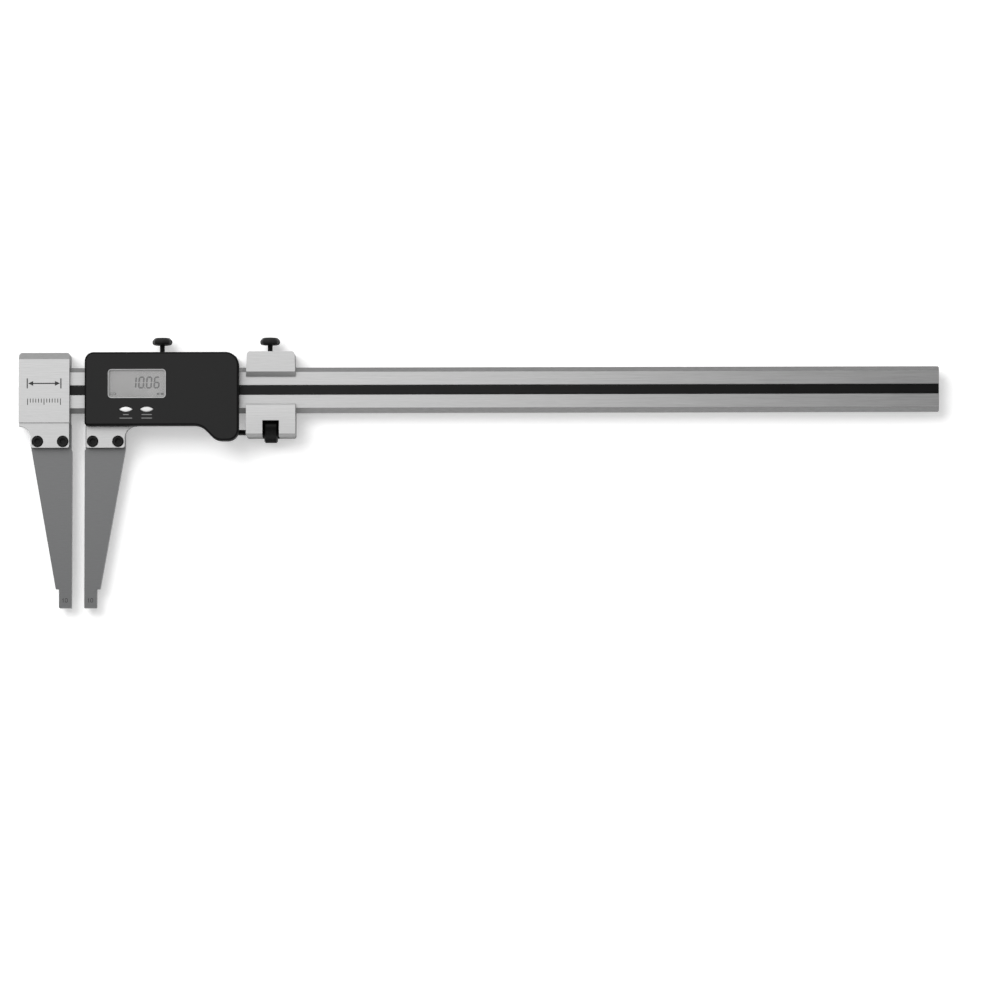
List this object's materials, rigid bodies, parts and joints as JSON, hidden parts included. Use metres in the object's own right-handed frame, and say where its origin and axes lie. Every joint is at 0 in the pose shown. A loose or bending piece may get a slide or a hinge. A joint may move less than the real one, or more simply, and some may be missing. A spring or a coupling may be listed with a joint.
{
  "type": "digital caliper",
  "caption": "Long-beam digital caliper with tapered measuring jaws, a display housing on a sliding carriage and a fine-adjustment clamp.",
  "frame": {"origin": "centre of the bottom of the bounding box, on the plane that the caliper's back rests on", "axes": "+X along the beam from the jaws to the tail, +Y away from the jaw tips, +Z out of the display"},
  "size_m": [0.726, 0.2136, 0.034],
  "materials": {
    "satin_aluminium": "satin anodised with a fine brushed grain",
    "ground_steel": "ground and lapped, dark grey",
    "black_steel": "black oxide",
    "black_plastic": "fine satin moulding",
    "black_film": "smooth printed film",
    "clear_window": "clear acrylic pane",
    "lcd_grey": "grey liquid crystal panel",
    "board_green": "solder mask on glass-fibre board",
    "white_plastic": "smooth moulded",
    "grey_rubber": "soft moulded",
    "bearing_brass": "machined",
    "cell_steel": "pressed nickel-plated can",
    "spring_bronze": "rolled spring strip"
  },
  "bodies": {
    "root": {"beam": "satin_aluminium", "beam_plug_upper": "black_plastic", "beam_plug_lower": "black_plastic", "scale_strip": "board_green", "scale_cover_film": "black_film", "beam_stop_screw": "black_steel", "fixed_head": "satin_aluminium", "head_screw_1": "black_steel", "head_screw_2": "black_steel", "fixed_jaw": "ground_steel", "fixed_jaw_screw_1": "black_steel", "fixed_jaw_screw_2": "black_steel"},
    "slider": {"carriage": "satin_aluminium", "moving_jaw": "ground_steel", "moving_jaw_screw_1": "black_steel", "moving_jaw_screw_2": "black_steel", "spindle_set_screw": "black_steel", "gib_set_screw_1": "black_steel", "gib_set_screw_2": "black_steel", "gib_strip": "bearing_brass", "adjust_spindle": "black_steel", "display_housing": "black_plastic", "display_window": "clear_window", "lcd_panel": "lcd_grey", "lcd_connector_lower": "grey_rubber", "lcd_connector_upper": "grey_rubber", "circuit_board": "board_green", "pickup_board": "board_green", "pickup_connector": "black_plastic", "button_membrane": "grey_rubber", "battery_contact_top": "spring_bronze", "battery_contact_side": "spring_bronze", "housing_screw_1": "black_steel", "housing_screw_2": "black_steel", "housing_screw_3": "black_steel", "housing_screw_4": "black_steel"},
    "battery_tray": {"battery_tray": "black_plastic", "battery": "cell_steel"},
    "button_left": {"button_left": "white_plastic"},
    "button_right": {"button_right": "white_plastic"},
    "slider_lock": {"slider_lock_knob": "black_plastic", "slider_lock_stem": "black_steel"},
    "slider_pad": {"slider_lock_pad": "bearing_brass"},
    "clamp": {"clamp_block": "satin_aluminium", "clamp_gib": "bearing_brass", "clamp_set_screw_1": "black_steel", "clamp_set_screw_2": "black_steel"},
    "clamp_lock": {"clamp_lock_knob": "black_plastic", "clamp_lock_stem": "black_steel"},
    "clamp_pad": {"clamp_lock_pad": "bearing_brass"},
    "wheel": {"adjusting_wheel": "black_steel"}
  },
  "joints": [
    {"name": "jaw_slide", "type": "slide", "parent": "root", "child": "slider", "axis": [1, 0, 0], "range_m": [-0.01004, 0.48994]},
    {"name": "wheel_spin", "type": "hinge", "parent": "clamp", "child": "wheel", "pos_m": [-0.1641, 0.0319, 0.012], "axis": [1, 0, 0], "range_deg": [-1130, 1130]},
    {"name": "fine_feed", "type": "slide", "parent": "slider", "child": "clamp", "axis": [1, 0, 0], "range_m": [-0.0025, 0.0025]},
    {"name": "slider_lock_turn", "type": "hinge", "parent": "slider", "child": "slider_lock", "pos_m": [-0.2503, 0.0952, 0.012], "axis": [0, -1, 0], "range_deg": [-180.5, 60]},
    {"name": "slider_pad_press", "type": "slide", "parent": "slider", "child": "slider_pad", "axis": [0, -1, 0], "range_m": [-0.00035, 0.000115]},
    {"name": "clamp_lock_turn", "type": "hinge", "parent": "clamp", "child": "clamp_lock", "pos_m": [-0.165, 0.0952, 0.012], "axis": [0, -1, 0], "range_deg": [-180.5, 60]},
    {"name": "clamp_pad_press", "type": "slide", "parent": "clamp", "child": "clamp_pad", "axis": [0, -1, 0], "range_m": [-0.00035, 0.000115]},
    {"name": "button_left_press", "type": "slide", "parent": "slider", "child": "button_left", "axis": [0, 0, -1], "range_m": [0, 0.0005], "stiffness_N_per_m": 800, "springref_m": -0.0005},
    {"name": "button_right_press", "type": "slide", "parent": "slider", "child": "button_right", "axis": [0, 0, -1], "range_m": [0, 0.0005], "stiffness_N_per_m": 800, "springref_m": -0.0005},
    {"name": "battery_tray_slide", "type": "slide", "parent": "slider", "child": "battery_tray", "axis": [1, 0, 0], "range_m": [0, 0.024]}
  ],
  "couplings": [
    {"joint": "wheel_spin", "follows": "fine_feed", "rad_per_m": 7854},
    {"joint": "slider_lock_turn", "follows": "slider_pad_press", "rad_per_m": 8976},
    {"joint": "clamp_lock_turn", "follows": "clamp_pad_press", "rad_per_m": 8976}
  ]
}
